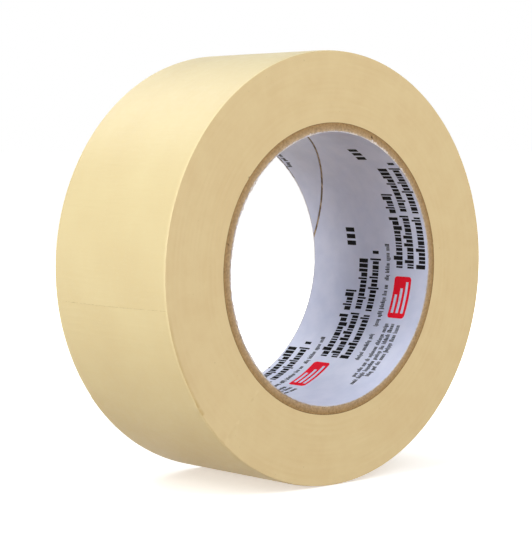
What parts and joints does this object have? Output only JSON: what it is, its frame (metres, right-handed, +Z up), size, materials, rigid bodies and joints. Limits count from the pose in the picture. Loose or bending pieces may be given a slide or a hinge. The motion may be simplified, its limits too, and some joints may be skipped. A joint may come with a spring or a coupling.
{
  "type": "masking tape roll",
  "caption": "Full roll of cream crepe-paper masking tape on a spirally wound paperboard core with a printed white liner; the free end peels off the rim.",
  "frame": {"origin": "centre of the core's bore, at half the roll's width", "axes": "+Y along the roll's axis, away from the printed side shown in the picture; +Z up, with the roll standing on its rim; +X to the right of someone looking along +Y"},
  "size_m": [0.1208, 0.048, 0.1209],
  "materials": {
    "tape": "matte crepe paper with a smooth release coat",
    "board": "matte kraft board",
    "liner": "smooth white paper with a light sheen"
  },
  "bodies": {
    "root": {"core_liner": "liner", "core_ply_1": "board", "core_ply_2": "board", "core_ply_3": "board", "core_ply_4": "board", "core_ply_5": "board", "core_wrap": "board", "tape_pack": "tape", "tape_outer_turn": "tape"},
    "tail_1": {"tape_tail_1": "tape"},
    "tail_2": {"tape_tail_2": "tape"},
    "tail_3": {"tape_tail_3": "tape"},
    "tail_4": {"tape_tail_4": "tape"},
    "tail_5": {"tape_tail_5": "tape"},
    "tail_6": {"tape_tail_6": "tape"},
    "tail_7": {"tape_tail_7": "tape"},
    "tail_8": {"tape_tail_8": "tape"}
  },
  "joints": [
    {"name": "tail_peel", "type": "hinge", "parent": "root", "child": "tail_1", "pos_m": [-0.04353, 0, -0.04201], "axis": [0, -1, 0], "range_deg": [0, 30]},
    {"name": "tail_bend_2", "type": "hinge", "parent": "tail_1", "child": "tail_2", "pos_m": [-0.04669, 0, -0.03847], "axis": [0, -1, 0], "range_deg": [0, 21]},
    {"name": "tail_bend_3", "type": "hinge", "parent": "tail_2", "child": "tail_3", "pos_m": [-0.04956, 0, -0.03469], "axis": [0, -1, 0], "range_deg": [0, 15]},
    {"name": "tail_bend_4", "type": "hinge", "parent": "tail_3", "child": "tail_4", "pos_m": [-0.05213, 0, -0.0307], "axis": [0, -1, 0], "range_deg": [0, 7.5]},
    {"name": "tail_bend_5", "type": "hinge", "parent": "tail_4", "child": "tail_5", "pos_m": [-0.05438, 0, -0.02651], "axis": [0, -1, 0], "range_deg": [0, 7.5]},
    {"name": "tail_bend_6", "type": "hinge", "parent": "tail_5", "child": "tail_6", "pos_m": [-0.05629, 0, -0.02217], "axis": [0, -1, 0], "range_deg": [0, 7.5]},
    {"name": "tail_bend_7", "type": "hinge", "parent": "tail_6", "child": "tail_7", "pos_m": [-0.05786, 0, -0.01768], "axis": [0, -1, 0], "range_deg": [0, 7.5]},
    {"name": "tail_bend_8", "type": "hinge", "parent": "tail_7", "child": "tail_8", "pos_m": [-0.05907, 0, -0.01309], "axis": [0, -1, 0], "range_deg": [0, 7.5]}
  ],
  "couplings": [
    {"joint": "tail_bend_2", "follows": "tail_peel", "ratio": 0.7},
    {"joint": "tail_bend_3", "follows": "tail_peel", "ratio": 0.5},
    {"joint": "tail_bend_4", "follows": "tail_peel", "ratio": 0.25},
    {"joint": "tail_bend_5", "follows": "tail_peel", "ratio": 0.25},
    {"joint": "tail_bend_6", "follows": "tail_peel", "ratio": 0.25},
    {"joint": "tail_bend_7", "follows": "tail_peel", "ratio": 0.25},
    {"joint": "tail_bend_8", "follows": "tail_peel", "ratio": 0.25}
  ]
}
